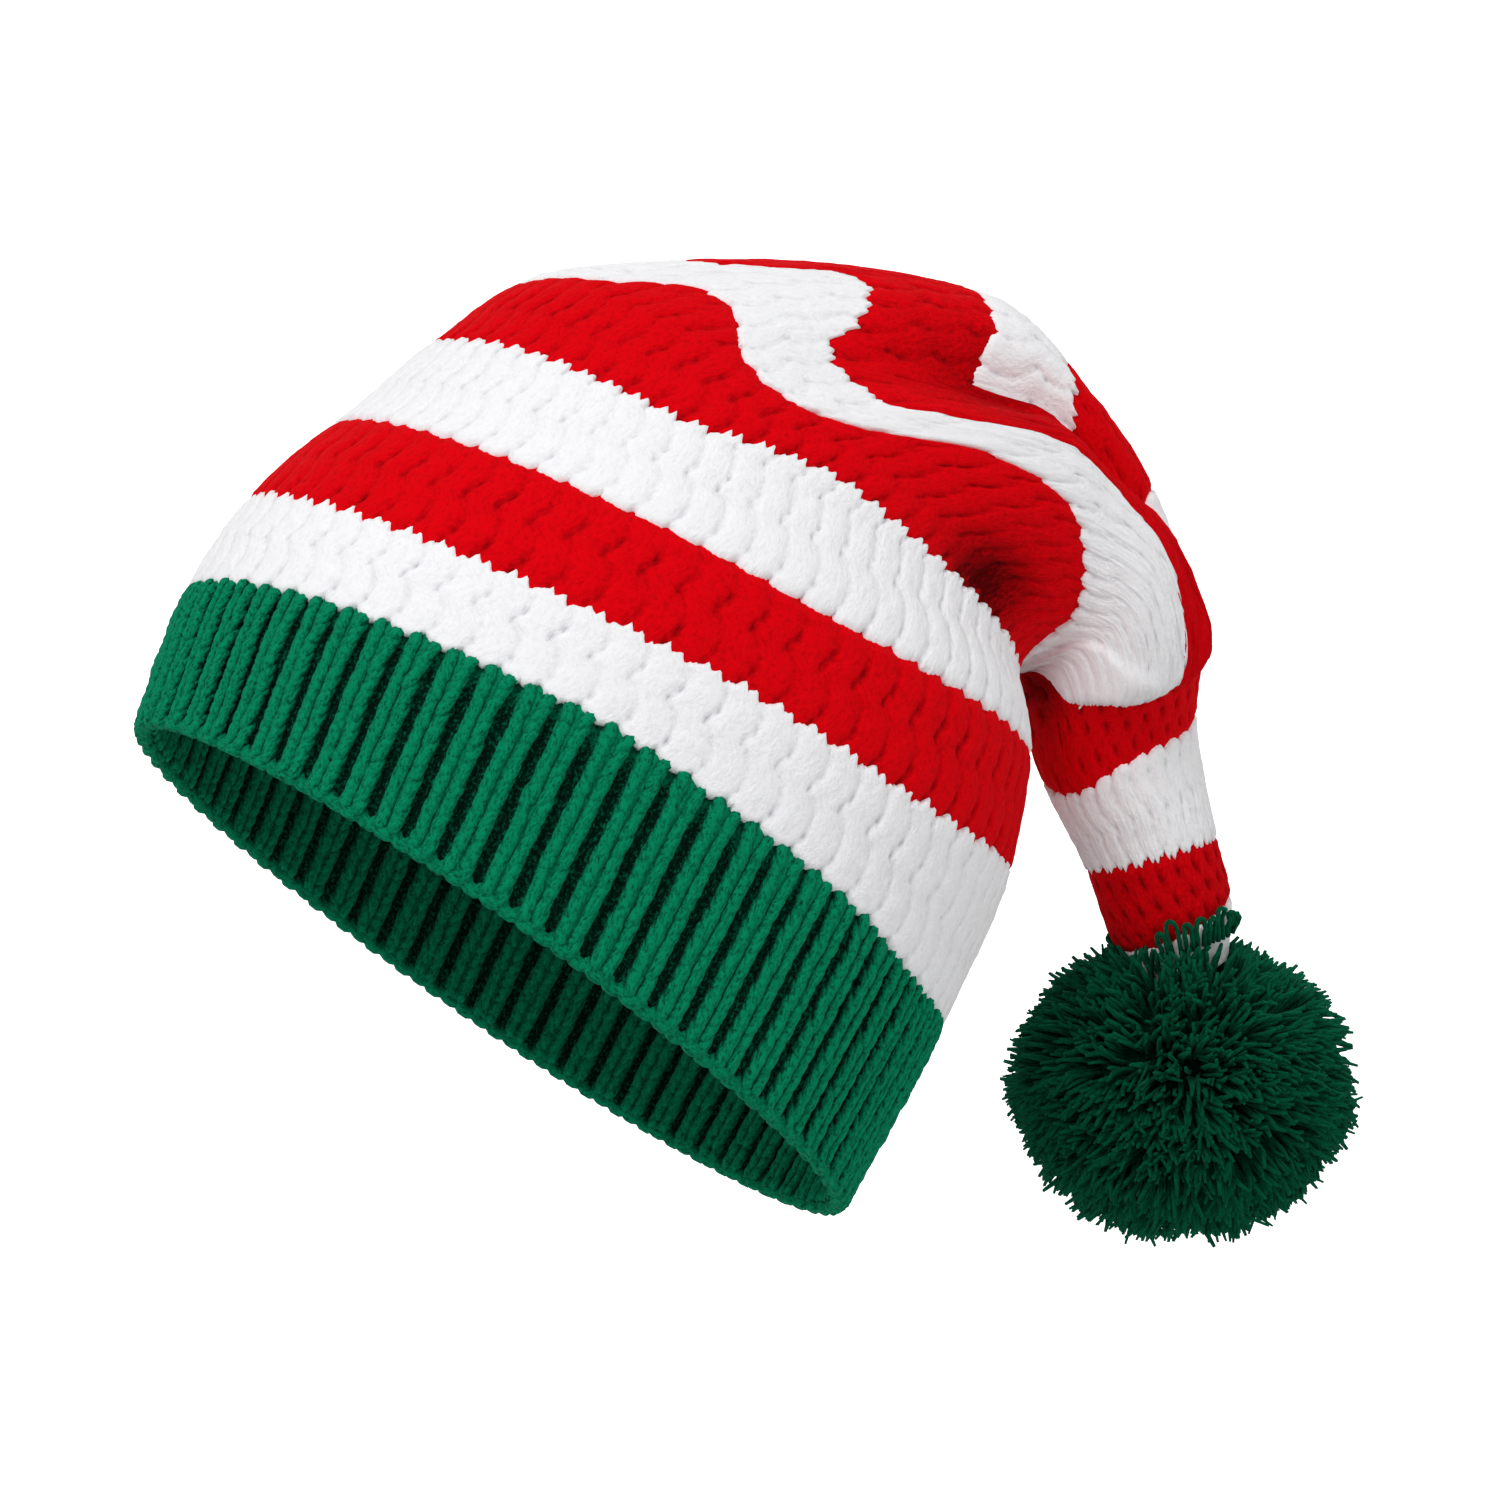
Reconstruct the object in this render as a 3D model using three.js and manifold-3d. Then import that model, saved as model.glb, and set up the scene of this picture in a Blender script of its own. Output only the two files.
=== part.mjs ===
// Knitted santa hat: a ribbed brim, a striped sleeve that narrows, bends over and hangs
// down behind the head, and a yarn pompom on its tip. Millimetres, +Z up as it is worn,
// front towards -X, origin at the middle of the rim's opening.
import * as THREE from 'three';
import { mergeVertices } from 'three/addons/utils/BufferGeometryUtils.js';
import Module from 'manifold-3d';

const wasm = await Module();
wasm.setup();

// Driving sizes
const HEAD_LENGTH = 220; // rim, front to back
const HEAD_WIDTH = 170; // rim, side to side
const WALL = 3; // thickness of the knit
const SEAM_GAP = 0.55; // clearance between stripes of two yarns
const RIB_PITCH = 9.3; // one knit and one purl column of the brim
const RIB_RELIEF = 1.8; // how far a rib stands above its groove
const POMPOM_WIDTH = 84;
const POMPOM_HEIGHT = 74;
const LOCK_LENGTH = 5; // how far a lock of yarn stands out of the pompom
const LOCK_WIDTH = 18; // width of a lock where it leaves the pompom
const TIP_CLEARANCE = 0.8; // between the tip and the pocket it sits in

// Cross sections of the sleeve, counted in stripe borders from the rim to the tip.
// The lengths in the side view are shares of HEAD_LENGTH, near and far of HEAD_WIDTH:
// front_x, front_z  the front line, which goes over the top and down the outside
// back_x, back_z    the back line, which goes up the back and through the bend's crease
// near, far         half size to the -Y and the +Y side
// dent              depth of the fold's groove, as a share of the section's own size
// dent_at           place of that groove, in degrees round from the front
// twist             degrees that the sleeve has turned about its own length
const SECTIONS = table(
	['at', 'front_x', 'front_z', 'back_x', 'back_z', 'near', 'far', 'dent', 'dent_at', 'twist'],
	[
		[0, -0.408, 0.29, 0.408, -0.29, 0.5, 0.5, 0, 62, 0],
		[1, -0.34, 0.46, 0.536, -0.078, 0.518, 0.518, 0, 62, 0],
		[2, -0.258, 0.566, 0.626, 0.106, 0.5, 0.5, 0, 62, 0],
		[3, -0.149, 0.654, 0.653, 0.246, 0.459, 0.459, 0, 62, 0],
		[4, -0.058, 0.73, 0.641, 0.318, 0.406, 0.406, 0, 62, 0],
		[5, 0.079, 0.809, 0.648, 0.341, 0.365, 0.353, 0.03, 62, 0],
		[6, 0.361, 0.832, 0.657, 0.355, 0.329, 0.294, 0.2, 62, 0],
		[7, 0.594, 0.808, 0.668, 0.359, 0.294, 0.235, 0.32, 60, 2],
		[8, 0.717, 0.71, 0.68, 0.355, 0.276, 0.2, 0.34, 58, 8],
		[9, 0.833, 0.565, 0.686, 0.339, 0.265, 0.165, 0.22, 45, 18],
		[10, 0.897, 0.394, 0.691, 0.302, 0.225, 0.135, 0, 40, 22],
		[10.5, 0.901, 0.355, 0.698, 0.273, 0.175, 0.129, 0, 40, 22],
		[11, 0.905, 0.291, 0.717, 0.219, 0.129, 0.124, 0, 40, 22],
		[12, 0.933, 0.159, 0.777, 0.111, 0.106, 0.106, 0, 40, 22],
		[13, 0.958, 0.069, 0.81, 0.024, 0.097, 0.097, 0, 40, 22],
		[14, 0.956, 0, 0.844, -0.036, 0.076, 0.076, 0, 40, 22],
	],
);
const DENT_SPREAD = 14; // degrees, half width of the groove
const PATCH_REACH = { angle: 9, at: 0.35 }; // patch that a wall's direction is averaged over
const POINT_REACH = { angle: 0.01, at: 0.01 }; // the same at one point
const SLOPE_STEP = 0.5; // degrees to each side that a border's slope is read over

// Where each border between two yarns lies, as a place in SECTIONS, at angles round the
// sleeve: 0 is the front and then the outside of the bend, 90 the near side, 180 the
// back and then the crease of the bend, 270 the far side.
const BORDER_ANGLES = [0, 30, 60, 75, 90, 110, 140, 180, 270];
const BORDERS = [
	{ name: 'rim', at: [0, 0, 0, 0, 0, 0, 0, 0, 0] },
	{ name: 'green_to_white_1', at: [0.87, 0.97, 1.08, 1.12, 1.09, 1.06, 0.95, 0.98, 1.05] },
	{ name: 'white_1_to_red_1', at: [1.74, 1.75, 1.77, 1.79, 1.81, 1.79, 1.87, 1.95, 1.8] },
	{ name: 'red_1_to_white_2', at: [2.72, 2.7, 2.67, 2.66, 2.64, 2.7, 2.84, 2.95, 2.7] },
	{ name: 'white_2_to_red_2', at: [3.9, 3.97, 3.98, 4.22, 4.46, 4.45, 4.45, 4, 3.9] },
	{ name: 'red_2_to_white_3', at: [4.75, 5.1, 4.95, 4.9, 6.1, 7.1, 7.55, 5.2, 4.8] },
	{ name: 'white_3_to_red_3', at: [6.3, 6.12, 5.5, 5.55, 8.1, 10, 9.5, 6.1, 5.8] },
	{ name: 'red_3_to_white_4', at: [7.03, 6.84, 6.33, 8.6, 9.94, 10.12, 9.9, 7.1, 6.9] },
	{ name: 'white_4_to_red_4', at: [7.92, 7.75, 7.3, 9.6, 10.05, 10.21, 10.06, 8.3, 7.9] },
	{ name: 'red_4_to_white_5', at: [9, 8.95, 8.8, 9.95, 10.16, 10.28, 10.15, 9.1, 8.9] },
	{ name: 'white_5_to_red_5', at: [10, 10, 10, 10.2, 10.28, 10.36, 10.3, 10.1, 9.9] },
	{ name: 'red_5_to_white_6', at: [10.95, 10.9, 10.95, 11, 11, 11, 11.05, 11.2, 11] },
	{ name: 'white_6_to_red_6', at: [12.05, 12.05, 12.05, 12.05, 12.05, 12.05, 12.05, 12.05, 12] },
	{ name: 'red_6_to_white_7', at: [13, 13, 13, 13, 13, 13, 13, 13, 13] },
	{ name: 'tip', at: [14, 14, 14, 14, 14, 14, 14, 14, 14] },
];

// Pieces from the rim up, with the rows of faces that each needs along its height
const PIECES = [
	{ name: 'brim', yarn: 'green', rows: 1 },
	{ name: 'white_stripe_1', yarn: 'white', rows: 2 },
	{ name: 'red_stripe_1', yarn: 'red', rows: 2 },
	{ name: 'white_stripe_2', yarn: 'white', rows: 2 },
	{ name: 'red_stripe_2', yarn: 'red', rows: 4 },
	{ name: 'white_stripe_3', yarn: 'white', rows: 5 },
	{ name: 'red_stripe_3', yarn: 'red', rows: 5 },
	{ name: 'white_stripe_4', yarn: 'white', rows: 2 },
	{ name: 'red_stripe_4', yarn: 'red', rows: 2 },
	{ name: 'white_stripe_5', yarn: 'white', rows: 2 },
	{ name: 'red_stripe_5', yarn: 'red', rows: 3 },
	{ name: 'white_stripe_6', yarn: 'white', rows: 2 },
	{ name: 'red_stripe_6', yarn: 'red', rows: 1 },
	{ name: 'white_stripe_7', yarn: 'white', rows: 1 },
];
const YARNS = {
	green: { color: '#0b7a50', roughness: 0.9 },
	white: { color: '#f2f0f4', roughness: 0.9 },
	red: { color: '#c8101a', roughness: 0.9 },
	pompom: { color: '#075a3c', roughness: 0.95 },
};

function table(columns, rows) {
	return rows.map((row) => Object.fromEntries(columns.map((name, i) => [name, row[i]])));
}

// Smooth curve through the points that never overshoots them (monotone cubic)
function smoothCurve(xs, ys) {
	const last = xs.length - 1;
	const steps = xs.slice(1).map((x, i) => x - xs[i]);
	const rises = steps.map((step, i) => (ys[i + 1] - ys[i]) / step);
	const slopes = ys.map((_, i) => {
		if (i === 0) return rises[0];
		if (i === last) return rises[last - 1];
		if (rises[i - 1] * rises[i] <= 0) return 0;
		const before = 2 * steps[i] + steps[i - 1];
		const after = steps[i] + 2 * steps[i - 1];
		return (before + after) / (before / rises[i - 1] + after / rises[i]);
	});
	return (x) => {
		let i = 0;
		while (i < last - 1 && x >= xs[i + 1]) i += 1;
		const t = (x - xs[i]) / steps[i];
		const start = (1 + 2 * t) * (1 - t) ** 2 * ys[i] + t * (1 - t) ** 2 * steps[i] * slopes[i];
		const end = t * t * (3 - 2 * t) * ys[i + 1] + t * t * (t - 1) * steps[i] * slopes[i + 1];
		return start + end;
	};
}

const places = SECTIONS.map((section) => section.at);
const sectionCurves = Object.fromEntries(
	Object.keys(SECTIONS[0]).map((name) => [
		name,
		smoothCurve(places, SECTIONS.map((section) => section[name])),
	]),
);
const wrappedAngles = [-360, 0, 360].flatMap((turn) => BORDER_ANGLES.map((angle) => angle + turn));
const borderCurves = BORDERS.map((border) =>
	smoothCurve(wrappedAngles, [...border.at, ...border.at, ...border.at]),
);

// Outer face of the knit, at an angle round the sleeve and a place along it
function outerPoint(angle, at) {
	const value = (name) => sectionCurves[name](at);
	const turned = THREE.MathUtils.degToRad(angle - value('twist'));
	const fromFront = THREE.MathUtils.euclideanModulo(angle - value('twist'), 360);
	const dent = value('dent') * Math.exp(-(((fromFront - value('dent_at')) / DENT_SPREAD) ** 2));
	const fore = 0.5 + 0.5 * Math.cos(turned) * (1 - dent);
	const side = Math.sin(turned) > 0 ? value('near') : value('far');
	return new THREE.Vector3(
		HEAD_LENGTH * THREE.MathUtils.lerp(value('back_x'), value('front_x'), fore),
		-HEAD_WIDTH * side * Math.sin(turned) * (1 - dent),
		HEAD_LENGTH * THREE.MathUtils.lerp(value('back_z'), value('front_z'), fore),
	);
}

// Directions along the sleeve, round it and out of it, averaged over a patch of the face
// so that the wall keeps its thickness over the sharp folds
function directions(angle, at, reach = PATCH_REACH) {
	const low = Math.max(at - reach.at, 0);
	const high = Math.min(at + reach.at, BORDERS.length - 1);
	const along = outerPoint(angle, high).sub(outerPoint(angle, low)).divideScalar(high - low);
	const round = outerPoint(angle + reach.angle, at).sub(outerPoint(angle - reach.angle, at));
	round.divideScalar(2 * reach.angle);
	return { along, round, out: round.clone().cross(along).normalize() };
}

// Half the seam gap as a length along the sleeve, measured square to the border
function halfSeam(border, angle) {
	const at = borderCurves[border](angle);
	const { along, round } = directions(angle, at, POINT_REACH);
	const step = SLOPE_STEP;
	const slope = (borderCurves[border](angle + step) - borderCurves[border](angle - step)) / (2 * step);
	const line = round.addScaledVector(along, slope).normalize();
	return SEAM_GAP / 2 / line.cross(along).length();
}

// Angles of the columns of faces, closer together on the near side where the folds are
const COLUMN_ZONES = table(
	['from', 'to', 'step'],
	[
		[0, 60, 12],
		[60, 84, 3],
		[84, 96, 2],
		[96, 180, 6],
		[180, 360, 12],
	],
);
function sleeveAngles() {
	return COLUMN_ZONES.flatMap(({ from, to, step }) =>
		Array.from({ length: (to - from) / step }, (_, i) => from + i * step),
	);
}

// Two columns of faces to each rib, so that ridge and groove alternate
function ribAngles() {
	const perimeter = (Math.PI * (HEAD_LENGTH + HEAD_WIDTH)) / 2;
	const columns = 2 * Math.round(perimeter / RIB_PITCH);
	return Array.from({ length: columns }, (_, i) => (i * 360) / columns);
}

// A ring of knit between two borders, as one closed wall; the last one is closed at the tip
function knitRing(index, rows) {
	const ribbed = index === 0;
	const closed = index === PIECES.length - 1;
	const angles = ribbed ? ribAngles() : sleeveAngles();
	const outer = [];
	const inner = [];
	for (let row = 0; row <= rows; row += 1) {
		const outerRow = [];
		const innerRow = [];
		angles.forEach((angle, column) => {
			const low = borderCurves[index](angle) + (index > 0 ? halfSeam(index, angle) : 0);
			const high = borderCurves[index + 1](angle) - (closed ? 0 : halfSeam(index + 1, angle));
			const at = low + ((high - low) * row) / rows;
			const { out, along } = directions(angle, at);
			const relief = ribbed ? (column % 2 ? -RIB_RELIEF / 2 : RIB_RELIEF / 2) : 0;
			const point = outerPoint(angle, at).addScaledVector(out, relief);
			outerRow.push(point);
			const inside = point.clone().addScaledVector(out, -WALL);
			if (closed && row === rows) inside.addScaledVector(along.normalize(), -WALL);
			innerRow.push(inside);
		});
		outer.push(outerRow);
		inner.push(innerRow);
	}
	return closed ? cupGeometry(outer, inner) : ringGeometry(outer, inner);
}

function ringGeometry(outer, inner) {
	const loops = [...outer, ...inner.reverse()];
	const points = loops.flat();
	const count = outer[0].length;
	const faces = [];
	loops.forEach((_, row) => {
		const next = (row + 1) % loops.length;
		addStrip(faces, points, row * count, next * count, count);
	});
	return meshGeometry(points, faces);
}

function cupGeometry(outer, inner) {
	const count = outer[0].length;
	const rows = outer.length;
	const points = [...inner.reverse(), ...outer].flat();
	const faces = [];
	for (let row = 0; row < 2 * rows - 1; row += 1) {
		addStrip(faces, points, row * count, (row + 1) * count, count);
	}
	const middle = (loop) =>
		loop.reduce((sum, point) => sum.add(point), new THREE.Vector3()).divideScalar(loop.length);
	const insideMiddle = points.push(middle(inner[0])) - 1;
	const outsideMiddle = points.push(middle(outer[rows - 1])) - 1;
	const lastLoop = (2 * rows - 1) * count;
	for (let i = 0; i < count; i += 1) {
		const j = (i + 1) % count;
		faces.push(insideMiddle, j, i);
		faces.push(outsideMiddle, lastLoop + i, lastLoop + j);
	}
	return meshGeometry(points, faces);
}

// Two faces between each pair of points on two loops, facing out of the sleeve and split
// along the shorter diagonal
function addStrip(faces, points, first, second, count) {
	for (let i = 0; i < count; i += 1) {
		const j = (i + 1) % count;
		const rising = points[first + i].distanceTo(points[second + j]);
		const falling = points[first + j].distanceTo(points[second + i]);
		if (rising <= falling) {
			faces.push(first + i, first + j, second + j);
			faces.push(first + i, second + j, second + i);
		} else {
			faces.push(first + i, first + j, second + i);
			faces.push(first + j, second + j, second + i);
		}
	}
}

function meshGeometry(points, faces) {
	const geometry = new THREE.BufferGeometry();
	geometry.setAttribute('position', new THREE.Float32BufferAttribute(points.flatMap((p) => p.toArray()), 3));
	geometry.setIndex(faces);
	return geometry;
}

function toSolid(geometry) {
	const bare = geometry.clone();
	bare.deleteAttribute('normal');
	bare.deleteAttribute('uv');
	const merged = mergeVertices(bare);
	return new wasm.Manifold(
		new wasm.Mesh({
			numProp: 3,
			vertProperties: new Float32Array(merged.attributes.position.array),
			triVerts: new Uint32Array(merged.index.array),
		}),
	);
}

function fromSolid(solid) {
	const mesh = solid.getMesh();
	const geometry = new THREE.BufferGeometry();
	geometry.setAttribute('position', new THREE.BufferAttribute(new Float32Array(mesh.vertProperties), 3));
	geometry.setIndex(new THREE.BufferAttribute(new Uint32Array(mesh.triVerts), 1));
	return geometry;
}

// The tip with its clearance, as a plain closed plug that cuts the pompom's pocket
const PLUG_ROWS = 6;
const PLUG_REACH = 2; // stripes of the sleeve that the plug takes in
function tipPlug() {
	const loops = [];
	const last = BORDERS.length - 1;
	const rows = PLUG_ROWS;
	const angles = sleeveAngles();
	for (let row = 0; row <= rows; row += 1) {
		const at = last - PLUG_REACH * (1 - row / rows);
		loops.push(
			angles.map((angle) => {
				const { out, along } = directions(angle, at);
				const point = outerPoint(angle, at).addScaledVector(out, TIP_CLEARANCE);
				return row === rows ? point.addScaledVector(along.normalize(), TIP_CLEARANCE) : point;
			}),
		);
	}
	const count = angles.length;
	const points = loops.flat();
	const faces = [];
	for (let row = 0; row < rows; row += 1) {
		addStrip(faces, points, row * count, (row + 1) * count, count);
	}
	for (let i = 1; i < count - 1; i += 1) {
		faces.push(0, i + 1, i);
		faces.push(rows * count, rows * count + i, rows * count + i + 1);
	}
	return toSolid(meshGeometry(points, faces));
}

// A round head of yarn with locks standing out of it all over, fused to it
const POMPOM_RINGS = 8;
const POMPOM_SIDES = 12;
const LOCK_COUNT = 36;
const LOCK_SIDES = 5;
const LOCK_TAPER = 0.55; // width of a lock's end, as a share of its foot
const TIP_DEPTH = 0.15; // how deep the tip sits, as a share of the pompom's height
function pompomGeometry() {
	const halfWidth = POMPOM_WIDTH / 2;
	const halfHeight = POMPOM_HEIGHT / 2;
	const last = BORDERS.length - 1;
	const tip = outerPoint(0, last).add(outerPoint(180, last)).multiplyScalar(0.5);
	const middle = tip.add(new THREE.Vector3(0, 0, -POMPOM_HEIGHT * (0.5 - TIP_DEPTH) - LOCK_LENGTH));
	const head = new THREE.SphereGeometry(1, POMPOM_SIDES, POMPOM_RINGS);
	head.rotateX(Math.PI / 2);
	head.scale(halfWidth, halfWidth, halfHeight);
	let solid = toSolid(head);
	const goldenTurn = Math.PI * (3 - Math.sqrt(5));
	const sink = LOCK_LENGTH; // a lock's root goes as deep into the head as it stands out
	for (let i = 0; i < LOCK_COUNT; i += 1) {
		const height = 1 - (2 * i + 1) / LOCK_COUNT;
		const radius = Math.sqrt(1 - height * height);
		const way = new THREE.Vector3(
			radius * Math.cos(i * goldenTurn),
			radius * Math.sin(i * goldenTurn),
			height,
		);
		const lock = new THREE.CylinderGeometry(
			(LOCK_TAPER * LOCK_WIDTH) / 2,
			LOCK_WIDTH / 2,
			LOCK_LENGTH + sink,
			LOCK_SIDES,
		);
		lock.translate(0, (LOCK_LENGTH - sink) / 2, 0);
		lock.applyQuaternion(new THREE.Quaternion().setFromUnitVectors(new THREE.Vector3(0, 1, 0), way));
		lock.translate(way.x * halfWidth, way.y * halfWidth, way.z * halfHeight);
		solid = solid.add(toSolid(lock));
	}
	const pompom = fromSolid(solid);
	pompom.translate(middle.x, middle.y, middle.z);
	return fromSolid(toSolid(pompom).subtract(tipPlug()));
}

function pieceMesh(name, geometry, yarn) {
	const material = new THREE.MeshStandardMaterial({
		color: yarn.color,
		roughness: yarn.roughness,
		metalness: 0,
	});
	const mesh = new THREE.Mesh(geometry, material);
	mesh.name = name;
	return mesh;
}

const hat = new THREE.Group();
hat.name = 'knitted_santa_hat';
PIECES.forEach((piece, index) => {
	hat.add(pieceMesh(piece.name, knitRing(index, piece.rows), YARNS[piece.yarn]));
});
hat.add(pieceMesh('pompom', pompomGeometry(), YARNS.pompom));

export default hat;
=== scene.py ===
"""Knitted santa hat: ribbed brim, striped sleeve folded over the back, yarn pompom.

Metres in the scene; the tables below are in millimetres or shares of named sizes, as in
the part's source, and every piece is laid on the same sleeve surface as the solid it
stands for.
"""
import math

import bpy
import numpy as np
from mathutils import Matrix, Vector


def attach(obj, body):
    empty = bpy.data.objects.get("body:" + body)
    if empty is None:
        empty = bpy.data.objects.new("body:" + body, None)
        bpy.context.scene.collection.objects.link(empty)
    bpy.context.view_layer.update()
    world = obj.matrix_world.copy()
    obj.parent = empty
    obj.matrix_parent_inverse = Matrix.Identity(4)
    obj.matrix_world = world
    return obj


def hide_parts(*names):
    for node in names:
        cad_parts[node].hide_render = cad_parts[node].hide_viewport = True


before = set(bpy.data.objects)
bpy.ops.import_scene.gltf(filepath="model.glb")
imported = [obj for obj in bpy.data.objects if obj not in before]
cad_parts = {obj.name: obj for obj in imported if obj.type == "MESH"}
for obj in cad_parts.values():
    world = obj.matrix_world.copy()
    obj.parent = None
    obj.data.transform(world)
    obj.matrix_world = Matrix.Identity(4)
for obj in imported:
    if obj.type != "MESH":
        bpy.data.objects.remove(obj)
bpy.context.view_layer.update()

MM = 0.001
HEAD_LENGTH = 220.0
HEAD_WIDTH = 170.0
WALL = 3.0
RIBS = 66
RIB_COURSES = 14

# Cross sections of the sleeve, counted in stripe borders from the rim to the tip: the
# front and back lines in the side view as shares of HEAD_LENGTH, half sizes to the near
# and far side as shares of HEAD_WIDTH, the fold's groove, and the twist in degrees
SECTION_COLUMNS = (
    "at", "front_x", "front_z", "back_x", "back_z", "near", "far", "dent", "dent_at", "twist",
)
SECTIONS = (
    (0, -0.408, 0.29, 0.408, -0.29, 0.5, 0.5, 0, 62, 0),
    (1, -0.34, 0.46, 0.536, -0.078, 0.518, 0.518, 0, 62, 0),
    (2, -0.258, 0.566, 0.626, 0.106, 0.5, 0.5, 0, 62, 0),
    (3, -0.149, 0.654, 0.653, 0.246, 0.459, 0.459, 0, 62, 0),
    (4, -0.058, 0.73, 0.641, 0.318, 0.406, 0.406, 0, 62, 0),
    (5, 0.079, 0.809, 0.648, 0.341, 0.365, 0.353, 0.03, 62, 0),
    (6, 0.361, 0.832, 0.657, 0.355, 0.329, 0.294, 0.2, 62, 0),
    (7, 0.594, 0.808, 0.668, 0.359, 0.294, 0.235, 0.32, 60, 2),
    (8, 0.717, 0.71, 0.68, 0.355, 0.276, 0.2, 0.34, 58, 8),
    (9, 0.833, 0.565, 0.686, 0.339, 0.265, 0.165, 0.22, 45, 18),
    (10, 0.897, 0.394, 0.691, 0.302, 0.225, 0.135, 0, 40, 22),
    (10.5, 0.901, 0.355, 0.698, 0.273, 0.175, 0.129, 0, 40, 22),
    (11, 0.905, 0.291, 0.717, 0.219, 0.129, 0.124, 0, 40, 22),
    (12, 0.933, 0.159, 0.777, 0.111, 0.106, 0.106, 0, 40, 22),
    (13, 0.958, 0.069, 0.81, 0.024, 0.097, 0.097, 0, 40, 22),
    (14, 0.956, 0, 0.844, -0.036, 0.076, 0.076, 0, 40, 22),
)
DENT_SPREAD = 14.0
PATCH_ANGLE = 9.0
PATCH_AT = 0.35

BORDER_ANGLES = (0, 30, 60, 75, 90, 110, 140, 180, 270)
BORDERS = (
    (0, 0, 0, 0, 0, 0, 0, 0, 0),
    (0.87, 0.97, 1.08, 1.12, 1.09, 1.06, 0.95, 0.98, 1.05),
    (1.74, 1.75, 1.77, 1.79, 1.81, 1.79, 1.87, 1.95, 1.8),
    (2.72, 2.7, 2.67, 2.66, 2.64, 2.7, 2.84, 2.95, 2.7),
    (3.9, 3.97, 3.98, 4.22, 4.46, 4.45, 4.45, 4, 3.9),
    (4.75, 5.1, 4.95, 4.9, 6.1, 7.1, 7.55, 5.2, 4.8),
    (6.3, 6.12, 5.5, 5.55, 8.1, 10, 9.5, 6.1, 5.8),
    (7.03, 6.84, 6.33, 8.6, 9.94, 10.12, 9.9, 7.1, 6.9),
    (7.92, 7.75, 7.3, 9.6, 10.05, 10.21, 10.06, 8.3, 7.9),
    (9, 8.95, 8.8, 9.95, 10.16, 10.28, 10.15, 9.1, 8.9),
    (10, 10, 10, 10.2, 10.28, 10.36, 10.3, 10.1, 9.9),
    (10.95, 10.9, 10.95, 11, 11, 11, 11.05, 11.2, 11),
    (12.05, 12.05, 12.05, 12.05, 12.05, 12.05, 12.05, 12.05, 12),
    (13, 13, 13, 13, 13, 13, 13, 13, 13),
    (14, 14, 14, 14, 14, 14, 14, 14, 14),
)
LAST_BORDER = len(BORDERS) - 1

# Stripes above the brim, with the columns of stitches round each one
STRIPES = (
    ("white_stripe_1", 66), ("red_stripe_1", 66), ("white_stripe_2", 68),
    ("red_stripe_2", 64), ("white_stripe_3", 52), ("red_stripe_3", 44),
    ("white_stripe_4", 40), ("red_stripe_4", 36), ("white_stripe_5", 32),
    ("red_stripe_5", 28), ("white_stripe_6", 24), ("red_stripe_6", 21),
    ("white_stripe_7", 20),
)


def smooth_curve(xs, ys):
    """Curve through the points that never overshoots them, as in the part's source."""
    xs = np.asarray(xs, float)
    ys = np.asarray(ys, float)
    steps = np.diff(xs)
    rises = np.diff(ys) / steps
    slopes = np.zeros(len(xs))
    slopes[0] = rises[0]
    slopes[-1] = rises[-1]
    for i in range(1, len(xs) - 1):
        if rises[i - 1] * rises[i] > 0:
            before = 2 * steps[i] + steps[i - 1]
            after = steps[i] + 2 * steps[i - 1]
            slopes[i] = (before + after) / (before / rises[i - 1] + after / rises[i])

    def curve(x):
        x = np.asarray(x, float)
        i = np.clip(np.searchsorted(xs, x, side="right") - 1, 0, len(steps) - 1)
        t = (x - xs[i]) / steps[i]
        start = (1 + 2 * t) * (1 - t) ** 2 * ys[i] + t * (1 - t) ** 2 * steps[i] * slopes[i]
        end = t * t * (3 - 2 * t) * ys[i + 1] + t * t * (t - 1) * steps[i] * slopes[i + 1]
        return start + end

    return curve


places = [row[0] for row in SECTIONS]
section = {
    name: smooth_curve(places, [row[i] for row in SECTIONS])
    for i, name in enumerate(SECTION_COLUMNS)
    if i
}
wrapped = [angle + turn for turn in (-360, 0, 360) for angle in BORDER_ANGLES]
border = [smooth_curve(wrapped, row * 3) for row in BORDERS]


def sleeve_point(angle, at):
    """Outer face of the knit in millimetres, at degrees round it and a place along it."""
    angle, at = np.broadcast_arrays(np.asarray(angle, float), np.asarray(at, float))
    at = np.clip(at, 0, LAST_BORDER)
    from_front = angle - section["twist"](at)
    turned = np.radians(from_front)
    dent = section["dent"](at) * np.exp(
        -((((from_front % 360) - section["dent_at"](at)) / DENT_SPREAD) ** 2)
    )
    fore = 0.5 + 0.5 * np.cos(turned) * (1 - dent)
    side = np.where(np.sin(turned) > 0, section["near"](at), section["far"](at))
    back_x, front_x = section["back_x"](at), section["front_x"](at)
    back_z, front_z = section["back_z"](at), section["front_z"](at)
    return np.stack(
        (
            HEAD_LENGTH * (back_x + (front_x - back_x) * fore),
            -HEAD_WIDTH * side * np.sin(turned) * (1 - dent),
            HEAD_LENGTH * (back_z + (front_z - back_z) * fore),
        ),
        axis=-1,
    )


def unit(vectors):
    return vectors / np.maximum(np.linalg.norm(vectors, axis=-1, keepdims=True), 1e-9)


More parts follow.
